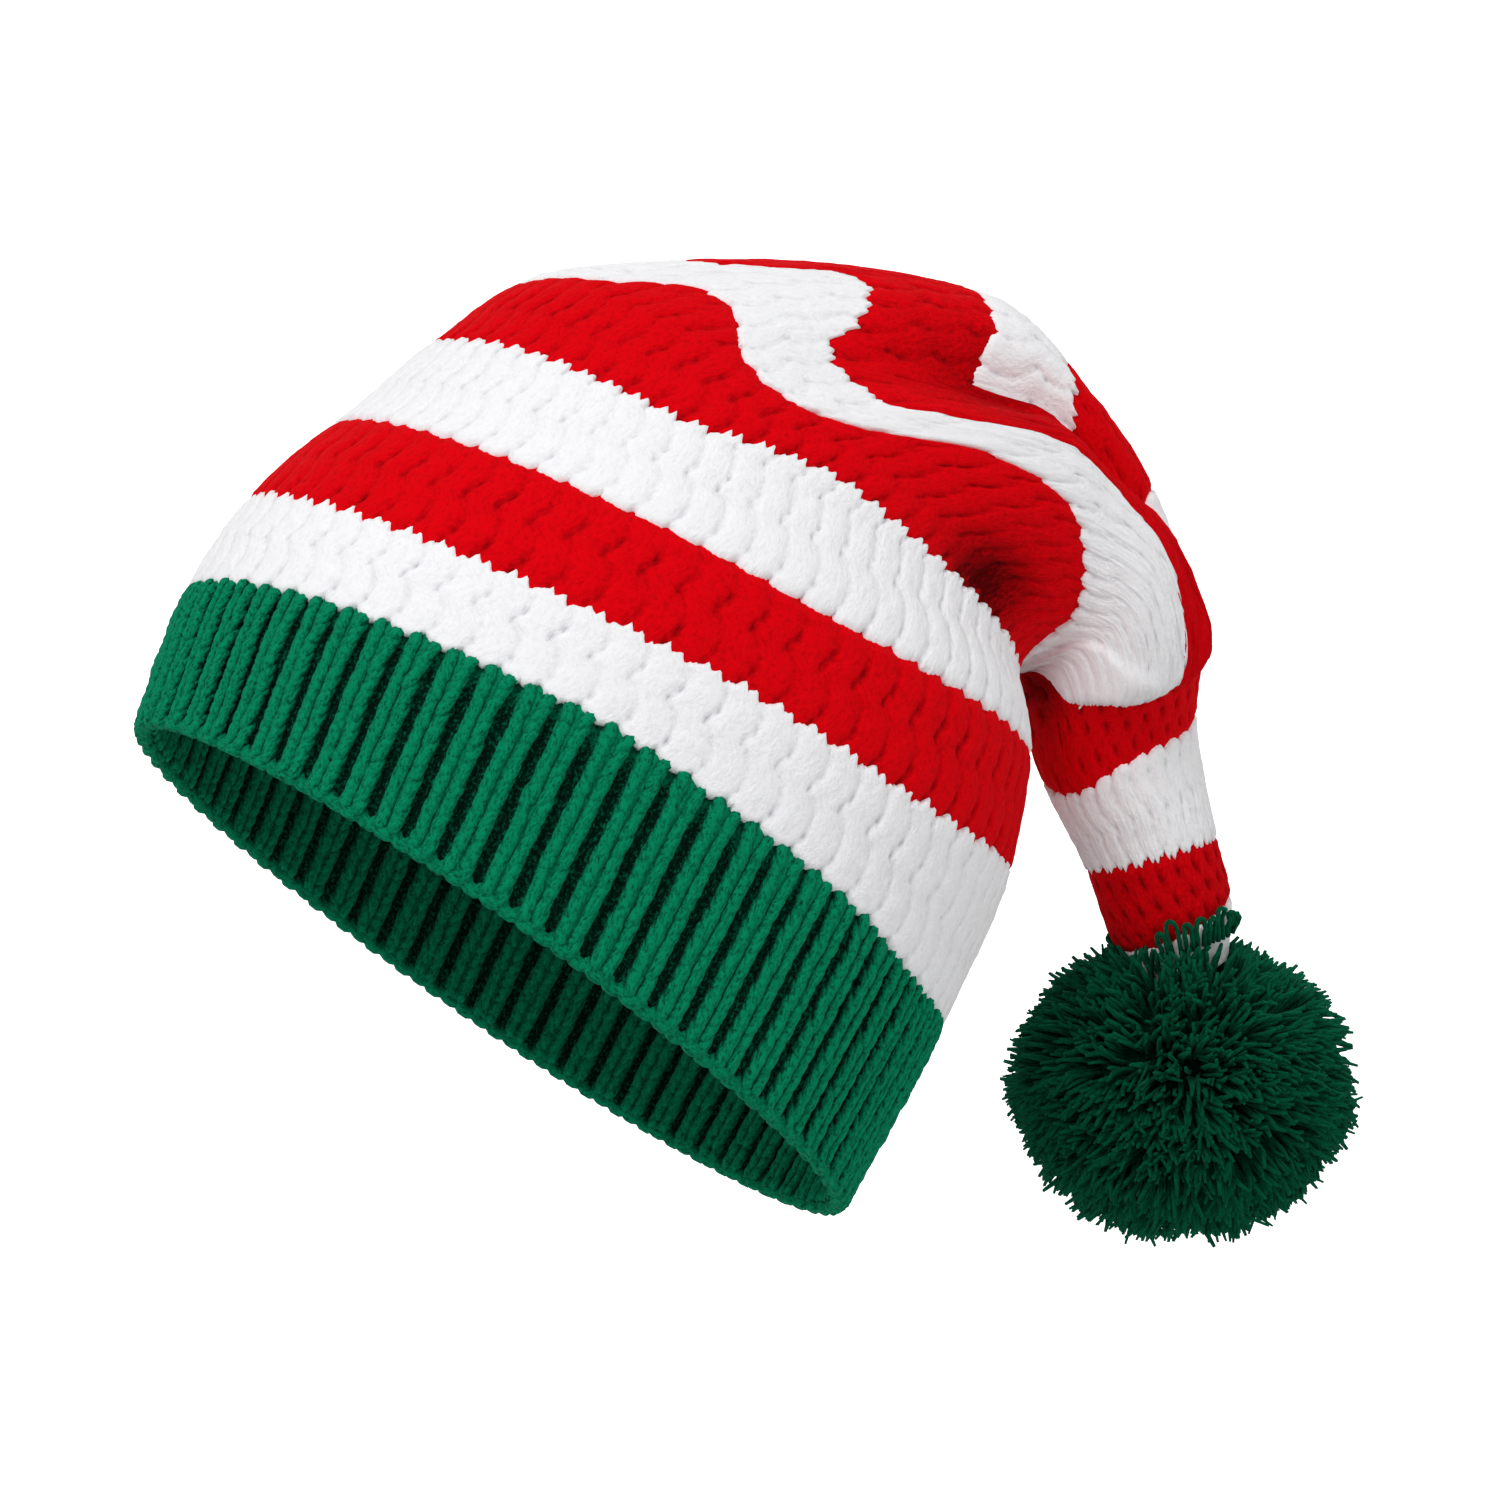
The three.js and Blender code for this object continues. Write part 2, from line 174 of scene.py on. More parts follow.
def sleeve_out(angle, at):
    """Direction out of the knit, averaged over a patch as in the part's source."""
    at = np.clip(at, 0, LAST_BORDER)
    low = np.maximum(at - PATCH_AT, 0)
    high = np.minimum(at + PATCH_AT, LAST_BORDER)
    along = sleeve_point(angle, high) - sleeve_point(angle, low)
    around = sleeve_point(angle + PATCH_ANGLE, at) - sleeve_point(angle - PATCH_ANGLE, at)
    return unit(np.cross(around, along))


def smoothstep(x):
    x = np.clip(x, 0, 1)
    return x * x * (3 - 2 * x)


def around_curve(points):
    """Curve of places round the sleeve, through (angle, place) pairs."""
    angles = [point[0] + turn for turn in (-360, 0, 360) for point in points]
    return smooth_curve(angles, [point[1] for point in points] * 3)


# Edges between colours as they show, as (angle, place) pairs, where they leave the borders
# in the table. The lobe that folds over on the near side hides the stripes pressed under
# it: its white stripe and the red one beside it hang over them, down to the next red one.
WHITE_3_TOP = (
    (0, 5.5), (14, 5.56), (20, 5.7), (25, 6.05), (31, 6.14), (39, 6.04), (47, 5.86),
    (54, 5.6), (63, 5.52), (75, 5.55),
)
WHITE_3_FAR = ((270, 5.8), (320, 5.55))
LOBE_WHITE_EDGE = around_curve((
    *WHITE_3_TOP, (86, 7.25), (92, 8.35), (99, 9.45), (108, 10.39), (122, 10.4),
    (138, 10.34), (154, 10.16), (168, 10.02), (176, 9.86), (182, 8.4), (190, 6.05),
    *WHITE_3_FAR,
))
RED_UNDER_LOBE = around_curve((
    *WHITE_3_TOP, (90, 8.1), (110, 10), (140, 9.5), (180, 6.1), *WHITE_3_FAR,
))
TOP_RED_EDGE = around_curve((
    (0, 4.75), (14, 4.88), (25, 5.02), (29, 5.2), (33, 5.32), (40, 5.33), (49, 5.21),
    (60, 4.96), (67, 4.89), (73, 4.92), (78, 5.07), (83, 5.34), (90, 6.05), (110, 7.1),
    (140, 7.55), (180, 5.2), (270, 4.8),
))
RED_3_TOP = (
    (0, 7.03), (20, 6.95), (32, 6.87), (42, 6.78), (46, 6.72), (50, 6.63), (54, 6.55),
)
LOBE_RED_EDGE = around_curve((
    *RED_3_TOP, (58, 6.53), (61, 6.7), (65, 8.3), (70, 9.6), (76, 10.2), (90, 10.36),
    (99, 10.38), (110, 10.3), (140, 10), (180, 7.1), (270, 6.9),
))
WHITE_BEHIND_LOBE = around_curve((
    *RED_3_TOP, (60, 6.52), (67, 7.3), (75, 8.6), (90, 9.94), (110, 10.12), (140, 9.9),
    (180, 7.1), (270, 6.9),
))
RED_BEHIND_LOBE = around_curve((
    (0, 7.92), (30, 7.73), (42, 7.66), (49, 7.74), (54, 7.72), (60, 7.85), (67, 8.8),
    (75, 9.6), (90, 10.05), (110, 10.21), (140, 10.06), (180, 8.3), (270, 7.9),
))
TAIL_RED_EDGE = around_curve((
    (0, 10), (30, 10), (60, 10), (75, 10.18), (90, 10.27), (110, 10.3), (138, 10.24),
    (154, 10.06), (168, 9.92), (176, 9.5), (184, 8.6), (196, 8.4), (207, 8.9), (219, 9.7),
    (235, 9.95), (270, 9.9),
))
TIP_EDGE = around_curve((
    (0, 13), (45, 12.95), (90, 13.05), (135, 13.2), (180, 13.3), (225, 13.3), (270, 13.15),
))
SHOWN_LOW = {
    5: TOP_RED_EDGE, 6: RED_UNDER_LOBE, 7: WHITE_BEHIND_LOBE, 8: RED_BEHIND_LOBE,
    10: TAIL_RED_EDGE, 13: TIP_EDGE,
}
SHOWN_HIGH = {
    4: TOP_RED_EDGE, 5: LOBE_WHITE_EDGE, 6: LOBE_RED_EDGE, 7: RED_BEHIND_LOBE,
    12: TIP_EDGE,
}
# Lift of the edges that hang over others, and depth of the stripes pressed under the lobe,
# millimetres, with the share of a border over which each comes in
LIFTED_HIGH = {5: 2.0, 6: 1.6}
LIFTED_LOW = {10: 1.0}
LIFT_OVER = 0.3
LOBE_STRIPE = 5
LOBE_LIFT_FROM = 98
LOBE_LIFT_OVER = 20
LEAST_LOBE_LIFT = 0.2
PRESSED_UNDER = (7, 8, 9)
PRESSED_DEPTH = 2.2
PRESSED_OVER = 0.25


def between_borders(index, angle, share):
    """Place along the sleeve at a share of a stripe's height, from edge to edge."""
    low = SHOWN_LOW.get(index, border[index])(angle % 360)
    high = SHOWN_HIGH.get(index, border[index + 1])(angle % 360)
    return low + (high - low) * share


def build_mesh(name, points, quads, uv=None, shade=None, triangles=()):
    """Object at the origin from points in millimetres, four-sided faces and end caps."""
    quads = np.asarray(quads, np.int32)
    triangles = np.asarray(triangles, np.int32).reshape(-1, 3)
    corners = np.concatenate((quads.ravel(), triangles.ravel()))
    quad_starts = np.arange(len(quads)) * 4
    cap_starts = quads.size + np.arange(len(triangles)) * 3
    starts = np.concatenate((quad_starts, cap_starts))
    mesh = bpy.data.meshes.new(name)
    mesh.vertices.add(len(points))
    mesh.vertices.foreach_set("co", (np.asarray(points) * MM).astype(np.float32).ravel())
    mesh.loops.add(len(corners))
    mesh.loops.foreach_set("vertex_index", corners)
    mesh.polygons.add(len(starts))
    mesh.polygons.foreach_set("loop_start", starts.astype(np.int32))
    mesh.update(calc_edges=True)
    mesh.polygons.foreach_set("use_smooth", np.ones(len(starts), bool))
    if uv is not None:
        layer = mesh.uv_layers.new(name="knit")
        cap_uv = np.zeros((triangles.size, 2))
        all_uv = np.concatenate((np.asarray(uv).reshape(-1, 2), cap_uv))
        layer.data.foreach_set("uv", all_uv.astype(np.float32).ravel())
    if shade is not None:
        attribute = mesh.attributes.new("shade", "FLOAT", "POINT")
        attribute.data.foreach_set("value", np.asarray(shade, np.float32).ravel())
    mesh.validate()
    obj = bpy.data.objects.new(name, mesh)
    bpy.context.scene.collection.objects.link(obj)
    return obj


def ring_faces(rows, columns, close_rows):
    """Faces between loops of points, closed round, with unwrapped places for the UVs."""
    row_count = rows if close_rows else rows - 1
    row, column = np.meshgrid(np.arange(row_count), np.arange(columns), indexing="ij")
    up = (row + 1) % rows
    right = (column + 1) % columns
    quads = np.stack(
        (
            row * columns + column,
            row * columns + right,
            up * columns + right,
            up * columns + column,
        ),
        axis=-1,
    ).reshape(-1, 4)
    corner_row = np.stack((row, row, row + 1, row + 1), axis=-1).reshape(-1, 4)
    corner_column = np.stack((column, column + 1, column + 1, column), axis=-1).reshape(-1, 4)
    return quads, corner_row, corner_column


NOISE_ROWS = 64


def soft_noise(seed, across, up, period):
    """Smooth random values from -1 to 1, one to each unit, that repeat round the sleeve."""
    values = np.random.default_rng(seed).uniform(-1, 1, (NOISE_ROWS, period))
    across, up = np.broadcast_arrays(across, up)
    column = np.floor(across).astype(int)
    row = np.floor(up).astype(int)
    right = smoothstep(across - column)
    above = smoothstep(up - row)
    left_column, right_column = column % period, (column + 1) % period
    low_row, high_row = row % NOISE_ROWS, (row + 1) % NOISE_ROWS
    low = values[low_row, left_column] * (1 - right)
    low += values[low_row, right_column] * right
    high = values[high_row, left_column] * (1 - right)
    high += values[high_row, right_column] * right
    return low * (1 - above) + high * above


# The crown's stitch: a chain of grooves runs down each stripe between the lobes, from the
# notch in its upper edge through two pairs of holes. Shares of a stripe's height up and of
# a stitch column across.
CHAIN_UP = (0, 0.03, 0.09, 0.16, 0.25, 0.34, 0.43, 0.5, 0.53, 0.6, 0.67, 0.75, 0.84, 0.93, 1)
CHAIN_ACROSS = (
    0.87, 0.88, 0.95, 1.02, 1.05, 1.0, 0.86, 0.64, 0.58, 0.65, 0.73, 0.77, 0.73, 0.6, 0.45,
)
CHAIN_DRIFT = -0.42
STITCHED_HEIGHT = 30.0
chain_across = smooth_curve(CHAIN_UP, CHAIN_ACROSS)
PAIRED_HOLES = ((0.67, 0.75), (0.53, 0.58), (0.16, 1.03), (0.02, 0.87))
SLOT_ROWS = ((0.2, 1.0), (0.5, 0.5), (0.8, 1.0))
# Width, length and depth in millimetres of the holes in each kind of knit, and the darkness of the
# painted shade in them
HOLE_SIZES = {
    "white": (0.55, 0.85, 1.0, 0.8),
    "red": (0.95, 1.8, 0.9, 0.55),
    "tail": (0.65, 1.9, 1.7, 1.0),
}
TAIL_STRIPES = (10, 12)
SLOT_SLANT = 0.3
# Lobes between the grooves: their height, where they are highest and how flat they are
LOBE_HEIGHT = 0.4
LOBE_CREST = 0.95
LOBE_FLATNESS = 2.2
GROOVE_DEPTH = 0.35
GROOVE_WIDTH = 0.95
TAIL_GROOVE = 0.5
# Grooves and holes come and go: the least share of each that stays
LEAST_GROOVE = 0.45
LEAST_HOLE = 0.4
FLUFF = 0.05
UNEVEN = 0.2
# Painted shade in the grooves, and painted shade that follows the uneven relief, less where it
# rises
GROOVE_SHADE = 0.22
UNEVEN_SHADE = 0.06
RELIEF_TOP = 0.5
FULL_COLUMN = 9.5
SMALLEST_SCALE = 0.25


def to_nearest(value):
    return value - np.round(value)


def crown_relief(kind, seed, wales, across, up, column_width, height):
    """Relief of the stitches in millimetres, the painted shade of its grooves and holes, and the
    chain's place.
    """
    repeats = np.maximum(1, height / STITCHED_HEIGHT)
    turns = np.clip(up, 0, 1) * repeats
    repeat = np.maximum(np.ceil(turns) - 1, 0)
    place = turns - repeat
    chain = chain_across(place) + CHAIN_DRIFT * repeat
    from_chain = across - chain
    share = from_chain - np.floor(from_chain)
    lobe = LOBE_HEIGHT * (1 - np.abs(2 * share - LOBE_CREST) ** LOBE_FLATNESS)
    near = np.abs(to_nearest(from_chain)) * column_width
    uneven = soft_noise(seed, across * 3, turns * 11, 3 * wales)
    patchy = 0.5 + 0.5 * soft_noise(seed + 50, across, turns * 3, wales)
    groove = np.exp(-((near / GROOVE_WIDTH) ** 2))
    groove = groove * (LEAST_GROOVE + (1 - LEAST_GROOVE) * patchy)
    width, length, depth, dark = HOLE_SIZES[kind]
    hole = np.zeros_like(near)
    for hole_up, hole_across in SLOT_ROWS if kind == "tail" else PAIRED_HOLES:
        upward = (place - hole_up) * height / repeats
        drift = 0 if kind == "tail" else CHAIN_DRIFT * repeat
        sideways = to_nearest(across - hole_across - drift) * column_width
        if kind == "tail":
            sideways = sideways + SLOT_SLANT * upward
        reach = (sideways / width) ** 2 + (upward / length) ** 2
        hole = np.maximum(hole, np.exp(-reach))
    if kind == "tail":
        groove = groove * TAIL_GROOVE
    else:
        hole = hole * (LEAST_HOLE + (1 - LEAST_HOLE) * patchy)
    relief = lobe - GROOVE_DEPTH * groove - depth * hole + UNEVEN * uneven
    painted_hollow_shade = np.clip(GROOVE_SHADE * groove + dark * hole - UNEVEN_SHADE * uneven, 0, 1)
    return relief - LOBE_HEIGHT + RELIEF_TOP, painted_hollow_shade, chain


# Teeth on a white stripe's upper edge, a pointed one, a rounder one and a notch to each
# stitch column: place across, half width and height. Its lower edge has scallops.
TEETH = ((0.0, 0.09, 2.1), (0.33, 0.1, 1.8), (0.5, 0.08, -1.1), (1.0, 0.09, 2.1))
TEETH_END = 9.4
TEETH_FADE = 0.6
SCALLOP_DEPTH = 1.8
SCALLOP_AT = 0.87
SCALLOP_ROUND = 0.7
EDGE_FUZZ = 0.22
EDGE_ROLL = 1.5
# A red stripe reaches under its neighbours: how far and how deep in millimetres, and the
# largest share of its height
TUCK = 2.6
TUCK_DEPTH = 1.7
LARGEST_TUCK = 0.12
# Stitches fade out and the knit lies lower where a stripe is squeezed narrow
NARROWEST = 3.0
SHORTEST_STITCH = 7.0
SQUEEZED_DEPTH = 0.8
SMALLEST_RATE = 8.0
# Pockets of the fold: stripe, place and reach as degrees and borders, depth, and darkness of the
# painted shade in them; those with no depth are painted shade alone
POCKETS = (
    (4, 126.0, 5.1, 13.0, 0.8, 6.5, 1.0),
    (10, 188.0, 9.4, 16.0, 0.9, 0.0, 0.75),
    (12, 150.0, 12.6, 200.0, 1.5, 0.0, 0.22),
    (6, 62.0, 6.6, 16.0, 0.5, 1.2, 0.4),
    (6, 70.0, 8.4, 60.0, 2.0, 0.0, 0.1),
)
# Mesh of a stripe: columns of points to a stitch, rows of faces outside and inside
WHITE_COLUMNS = 16
RED_COLUMNS = 14
OUTER_ROWS = 26
LINING_ROWS = 3
LINING_WAVE = 0.4
# Even painted shade on the lining
LINING_SHADE = 0.5
PROBES = 25
UV_STITCH_HEIGHT = 13


def edge_teeth(across):
    """Height in millimetres of the teeth on an upper edge."""
    place = across - np.floor(across)
    return sum(size * np.exp(-(((place - at) / width) ** 2)) for at, width, size in TEETH)


def edge_scallops(across):
    """Height in millimetres of the arches on a lower edge, round their middle."""
    arch = np.abs(np.sin(math.pi * (across - SCALLOP_AT))) ** SCALLOP_ROUND
    return SCALLOP_DEPTH * (arch - 0.5)


def fold_pocket(index, angle, at):
    """Depth in millimetres, and darkness of painted shade, of a place that lies in a pocket of the
    fold.
    """
    deep = np.zeros(np.broadcast(angle, at).shape)
    dark = np.zeros_like(deep)
    for stripe, angle_at, along_at, angle_reach, along_reach, depth, darkness in POCKETS:
        if stripe == index:
            sideways = (angle - angle_at) / angle_reach
            along = (at - along_at) / along_reach
            near = np.exp(-(sideways**2) - along**2)
            deep += depth * near
            dark += darkness * near
    return deep, dark


def pressed_in(index, angle, at):
    """Depth in millimetres of a place that the lobe's red edge covers."""
    if index not in PRESSED_UNDER:
        return 0.0
    return PRESSED_DEPTH * smoothstep((LOBE_RED_EDGE(angle) - at) / PRESSED_OVER)


def overhang(index, angle, at):
    """Height in millimetres of an edge where it hangs over its neighbour."""
    if index in LIFTED_HIGH:
        lift = LIFTED_HIGH[index]
        if index == LOBE_STRIPE:
            risen = smoothstep((angle - LOBE_LIFT_FROM) / LOBE_LIFT_OVER)
            lift = lift * (LEAST_LOBE_LIFT + (1 - LEAST_LOBE_LIFT) * risen)
        return lift * smoothstep((at - border[index + 1](angle)) / LIFT_OVER)
    if index in LIFTED_LOW:
        return LIFTED_LOW[index] * smoothstep((border[index](angle) - at) / LIFT_OVER)
    return 0.0


def stripe_height(index, angle):
    """Height in millimetres, and millimetres to a share of it at the lower and upper edge."""
    probe = np.linspace(0, 1, PROBES)[:, None]
    line = sleeve_point(angle, between_borders(index, angle, probe))
    steps = np.linalg.norm(np.diff(line, axis=0), axis=-1)
    low_rate = np.maximum(steps[0] * (PROBES - 1), SMALLEST_RATE)
    high_rate = np.maximum(steps[-1] * (PROBES - 1), SMALLEST_RATE)
    return steps.sum(axis=0), low_rate, high_rate


def white_edges(index, across, angle, calm, low_rate, high_rate, draw):
    """Scalloped lower and toothed upper edge, in shares of the stripe's height."""
    teeth = edge_teeth(across) * calm
    if index == LOBE_STRIPE:
        teeth = teeth * (1 - smoothstep((SHOWN_HIGH[index](angle) - TEETH_END) / TEETH_FADE))
    fuzz = draw.normal(0, EDGE_FUZZ, (2, len(across)))
    low = (fuzz[0] - edge_scallops(across)) * calm / low_rate
    high = 1 + (fuzz[1] + teeth) * calm / high_rate
    return low, high


def edge_drop(white, from_edge, calm):
    """Depth in millimetres near an edge: white ones are rolled, red ones tucked under."""
    if white:
        inset = 1 - np.clip(from_edge / EDGE_ROLL, 0, 1)
        return EDGE_ROLL * (1 - np.sqrt(np.clip(1 - inset**2, 0, 1))) * calm
    return TUCK_DEPTH * calm * (1 - smoothstep(from_edge / (2 * TUCK)))


def stripe_uv(across, chain, up, lining_share, height, wales, corner_row, corner_column):
    """Places on the unrolled stripe, in stitches, with the seam carried on past the last."""
    columns = len(across)
    uv_across = np.concatenate((across - chain, np.tile(across, (LINING_ROWS + 1, 1))))
    uv_across = np.concatenate((uv_across, uv_across[:, :1] + wales), axis=1)
    uv_up = np.concatenate((up, np.tile(lining_share, (1, columns)))) * height / UV_STITCH_HEIGHT
    uv_up = np.concatenate((uv_up, uv_up[:, :1]), axis=1)
    row = corner_row % len(uv_across)
    return np.stack((uv_across[row, corner_column], uv_up[row, corner_column]), axis=-1)


def build_stripe(index, name, wales):
    """One yarn's band of the sleeve as a closed wall with its stitches on it."""
    white = name.startswith("white")
    kind = "white" if white else "red"
    if index in TAIL_STRIPES:
        kind = "tail"
    closed = index == len(STRIPES)
    columns = wales * (WHITE_COLUMNS if white else RED_COLUMNS)
    across = np.arange(columns) * wales / columns
    angle = across * 360 / wales
    height, low_rate, high_rate = stripe_height(index, angle)
    calm = smoothstep((height - NARROWEST) / (SHORTEST_STITCH * 2))
    draw = np.random.default_rng(index)
    if white:
        low, high = white_edges(index, across, angle, calm, low_rate, high_rate, draw)
    else:
        low = -np.minimum(TUCK / low_rate, LARGEST_TUCK)
        high = 1 + np.minimum(TUCK / high_rate, LARGEST_TUCK)
    if closed:
        high = np.ones(columns)
    up = low + (high - low) * np.linspace(0, 1, OUTER_ROWS + 1)[:, None]
    at = between_borders(index, angle, up)
    base = sleeve_point(angle, at)
    out = sleeve_out(angle, at)
    around = np.linalg.norm(np.roll(base, -1, axis=1) - np.roll(base, 1, axis=1), axis=-1)
    column_width = around / 2 * columns / wales
    relief, painted_hollow_shade, chain = crown_relief(kind, index, wales, across, up, column_width, height)
    scale = calm * np.clip(column_width / FULL_COLUMN, SMALLEST_SCALE, 1)
    from_edge = np.minimum((up - low) * low_rate, (high - up) * high_rate)
    if closed:
        from_edge = (up - low) * height
    rise = relief * scale
    rise += draw.normal(0, FLUFF, rise.shape) * (0.4 + 0.6 * calm)
    rise -= edge_drop(white, from_edge, calm)
    rise -= SQUEEZED_DEPTH * (1 - calm)
    rise += overhang(index, angle, at)
    deep, dark = fold_pocket(index, angle, at)
    rise -= deep + pressed_in(index, angle, at)
    outer = base + out * rise[..., None]
    lining_share = np.linspace(1, 0, LINING_ROWS + 1)[:, None]
    lining_at = between_borders(index, angle, low + (high - low) * lining_share)
    lining = WALL + LINING_WAVE * np.cos(2 * math.pi * across) * calm
    lining = lining + fold_pocket(index, angle, lining_at)[0]
    lining = lining + pressed_in(index, angle, lining_at)
    inner = sleeve_point(angle, lining_at) - sleeve_out(angle, lining_at) * lining[..., None]
    loops = np.concatenate((outer, inner))
    # Painted shade: the outer face is darkened in its grooves, holes and pockets of the fold, and
    # the lining gets an even painted shade
    shade = np.full(loops.shape[:2], LINING_SHADE)
    shade[:OUTER_ROWS + 1] = np.clip(painted_hollow_shade * scale + dark, 0, 1)
    quads, corner_row, corner_column = ring_faces(len(loops), columns, not closed)
    uv = stripe_uv(across, chain, up, lining_share, height, wales, corner_row, corner_column)
    points = loops.reshape(-1, 3)
    shade = shade.ravel()
    triangles = ()
    if closed:
        cut = np.arange(len(quads)) // columns == OUTER_ROWS
        quads, uv = quads[~cut], uv[~cut]
        points, shade, triangles = close_tip(points, shade, OUTER_ROWS, columns)
    return build_mesh(name + "_knit", points, quads, uv, shade, triangles)


# Painted shade at the two points that close the tip
TIP_SHADE = 0.3


def close_tip(points, shade, rows, columns):
    """Draws both faces of the wall together at the tip, each to one point."""
    triangles = []
    count = len(points)
    start = np.arange(columns)
    end = (start + 1) % columns
    for extra, (row, flip) in enumerate(((rows, False), (rows + 1, True))):
        ring = points[row * columns:(row + 1) * columns]
        points = np.concatenate((points, ring.mean(axis=0)[None]))
        middle = np.full(columns, count + extra)
        face = np.stack((row * columns + start, row * columns + end, middle), axis=-1)
        triangles.append(face[:, ::-1] if flip else face)
    shade = np.concatenate((shade, (TIP_SHADE, TIP_SHADE)))
    return points, shade, np.concatenate(triangles)


UV_DRIFT = 20


def tubes(middle, out, radius, sides, flat, shade_at, uv_size):
    """Closed tubes of yarn along rows of points, as points, faces, UVs, shade and caps."""
    count, rings = middle.shape[:2]
    forward = unit(np.gradient(middle, axis=1))
    sideways = unit(np.cross(forward, out))
    normal = np.cross(sideways, forward)
    turn = (0.25 + np.arange(sides) / sides) * 2 * math.pi
    radius = radius[..., None, None]
    ring = (
        middle[:, :, None]
        + radius * np.cos(turn)[:, None] * sideways[:, :, None]
        + radius * flat * np.sin(turn)[:, None] * normal[:, :, None]
    )
    quads, corner_row, corner_column = ring_faces(rings, sides, False)
    quads = quads[:, ::-1]
    uv = np.stack((corner_column / sides, corner_row / (rings - 1)), axis=-1)[:, ::-1] * uv_size
    fan = np.array([(0, i, i + 1) for i in range(1, sides - 1)])
    caps = np.concatenate((fan, fan[:, ::-1] + (rings - 1) * sides))
    first = np.arange(count)[:, None, None] * rings * sides
    drift = np.random.default_rng(count).random((count, 1, 1, 2)) * UV_DRIFT
    shade = shade_at(turn, np.linspace(0, 1, rings)[:, None]) * np.ones((count, rings, sides))
    return (
        ring.reshape(-1, 3),
        (first + quads).reshape(-1, 4),
        (uv + drift).reshape(-1, 4, 2),
        np.clip(shade, 0, 1).ravel(),
        (first + caps).reshape(-1, 3),
    )


def join_parts(name, parts):
    """One object from the points, faces, UVs, shade and caps of several parts."""
    offset = 0
    joined = [[] for _ in range(5)]
    for points, quads, uv, shade, triangles in parts:
        moved = (points, quads + offset, uv, shade, triangles + offset)
        for column, values in zip(joined, moved):
            column.append(values)
        offset += len(points)
    points, quads, uv, shade, triangles = (np.concatenate(column) for column in joined)
    return build_mesh(name, points, quads, uv, shade, triangles)


# Brim: a thin wavy sheet in one by one rib, and two slanted stitch legs to every course of
# each rib, on both faces. Levels, radii and lifts are in millimetres, spreads in ribs.
RIB_WAVE = 1.1
RIB_MIDDLE = -1.1
SHEET = 1.6
SHEET_COLUMNS = 8
SHEET_ROWS = 20
SHEET_TOP = 1.06
SHEET_TUCK = 0.6
SHEET_UV_ROW = 0.5
# Shape of the painted shade on the sheet across a groove
GROOVE_FALL = 0.7
LEG_RADIUS = 1.75
LEG_FLAT = 0.85
LEG_APART = 0.1
LEG_SPREAD = 0.17
LEG_SPREAD_TOP = 0.1
LEG_COURSES = 2.7
LEG_START = 0.9
LEG_LIFT = 1.1
LEG_SINK = 0.5
LEG_END = 0.3
UNEVEN_ACROSS = 0.014
UNEVEN_UP = 0.1
UNEVEN_LIFT = 0.1
OUTSIDE_LEG = (6, 6)
INSIDE_LEG = (5, 5)
RIM_RADIUS = 1.9
RIM_SHADE = 0.1
RIM_RINGS = 6
RIM_SIDES = 6


def build_brim_sheet():
    """The ribbed sheet, with painted shade that makes it show dark in the grooves between the
    stitch legs.
    """
    columns = RIBS * SHEET_COLUMNS
    across = np.arange(columns) * RIBS / columns
    angle = across * 360 / RIBS
    wave = np.cos(2 * math.pi * across)
    up = np.linspace(0, SHEET_TOP, SHEET_ROWS + 1)[:, None] * np.ones(columns)
    at = between_borders(0, angle, up)
    tuck = TUCK_DEPTH * SHEET_TUCK * smoothstep((up - 0.93) / 0.12)
    outer = RIB_MIDDLE + RIB_WAVE * wave - tuck
    inner = RIB_MIDDLE - SHEET + RIB_WAVE * wave - tuck * 0.3
    base = sleeve_point(angle, at)
    out = sleeve_out(angle, at)
    loops = np.concatenate((base + out * outer[..., None], (base + out * inner[..., None])[::-1]))
    # Painted shade on the sheet: darker in its grooves, outside and inside, and less near its top
    less_painted_shade_at_top = 1 - 0.6 * smoothstep((up - 0.8) / 0.15)
    shade_out = (0.5 - 0.5 * wave) ** GROOVE_FALL * less_painted_shade_at_top
    shade_in = (0.5 + 0.5 * wave) ** GROOVE_FALL * np.ones_like(up)
    shade = np.concatenate((shade_out, shade_in[::-1]))
    quads, corner_row, corner_column = ring_faces(len(loops), columns, True)
    uv = np.stack((corner_column * RIBS / columns, corner_row * SHEET_UV_ROW), axis=-1)
    return loops.reshape(-1, 3), quads, uv, shade.ravel(), np.zeros((0, 3), int)


def leg_shade(turn, along):
    """Painted shade on a leg: light along its crest, dark where it sinks between its neighbours
    and at its ends.
    """
    return 0.62 - 0.85 * np.sin(turn) + 0.4 * (1 - 4 * along * (1 - along)) ** 2


